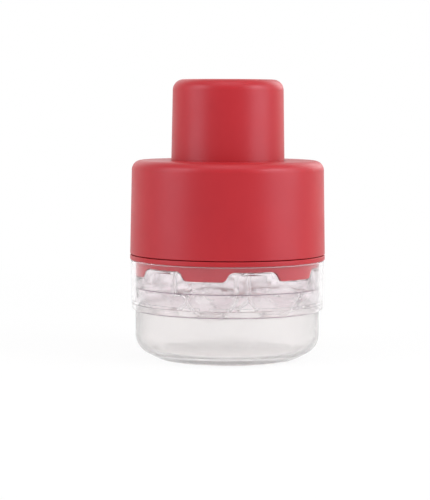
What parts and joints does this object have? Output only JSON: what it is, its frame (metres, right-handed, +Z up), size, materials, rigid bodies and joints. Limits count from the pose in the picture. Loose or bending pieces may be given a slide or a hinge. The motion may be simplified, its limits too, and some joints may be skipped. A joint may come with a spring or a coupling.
{
  "type": "push-down cherry pitter",
  "caption": "Push-down cherry pitter: a sprung cap drives hollow pins through fruit in a clear bowl tray over a pit cup.",
  "frame": {"origin": "centre of the foot ring that the pit cup stands on", "axes": "+Z up along the press cap's travel; one fruit bowl lies on -Y"},
  "size_m": [0.094, 0.094, 0.1338],
  "materials": {
    "red_plastic": "satin",
    "inner_plastic": "matte",
    "clear_plastic": "clear polished",
    "milky_plastic": "milky, slightly clouded",
    "pin_steel": "drawn and polished",
    "spring_steel": "bright wire",
    "screw_steel": "zinc plated"
  },
  "bodies": {
    "cup": {"pit_cup": "milky_plastic"},
    "collar": {"collar": "clear_plastic"},
    "tray": {"fruit_tray": "clear_plastic", "bowl_centre": "clear_plastic", "bowl_1": "clear_plastic", "bowl_2": "clear_plastic", "bowl_3": "clear_plastic", "bowl_4": "clear_plastic", "bowl_5": "clear_plastic", "bowl_6": "clear_plastic"},
    "head": {"guide_base": "red_plastic", "guide_plate": "red_plastic", "head_shell": "red_plastic", "return_spring": "spring_steel", "base_screw_1": "screw_steel", "base_screw_2": "screw_steel", "base_screw_3": "screw_steel"},
    "plunger": {"press_cap": "red_plastic", "pin_clamp": "inner_plastic", "pin_carrier": "inner_plastic", "centre_pin": "pin_steel", "outer_pin_1": "pin_steel", "outer_pin_2": "pin_steel", "outer_pin_3": "pin_steel", "outer_pin_4": "pin_steel", "outer_pin_5": "pin_steel", "outer_pin_6": "pin_steel", "carrier_screw_1": "screw_steel", "carrier_screw_2": "screw_steel", "carrier_screw_3": "screw_steel"}
  },
  "joints": [
    {"name": "collar_lift", "type": "slide", "parent": "cup", "child": "collar", "axis": [0, 0, 1], "range_m": [0, 0.03]},
    {"name": "tray_lift", "type": "slide", "parent": "collar", "child": "tray", "axis": [0, 0, 1], "range_m": [0, 0.045]},
    {"name": "head_lift", "type": "slide", "parent": "tray", "child": "head", "axis": [0, 0, 1], "range_m": [0, 0.06]},
    {"name": "press", "type": "slide", "parent": "head", "child": "plunger", "axis": [0, 0, -1], "range_m": [0, 0.03], "stiffness_N_per_m": 360, "springref_m": -0.02, "deforming": ["return_spring"]}
  ]
}
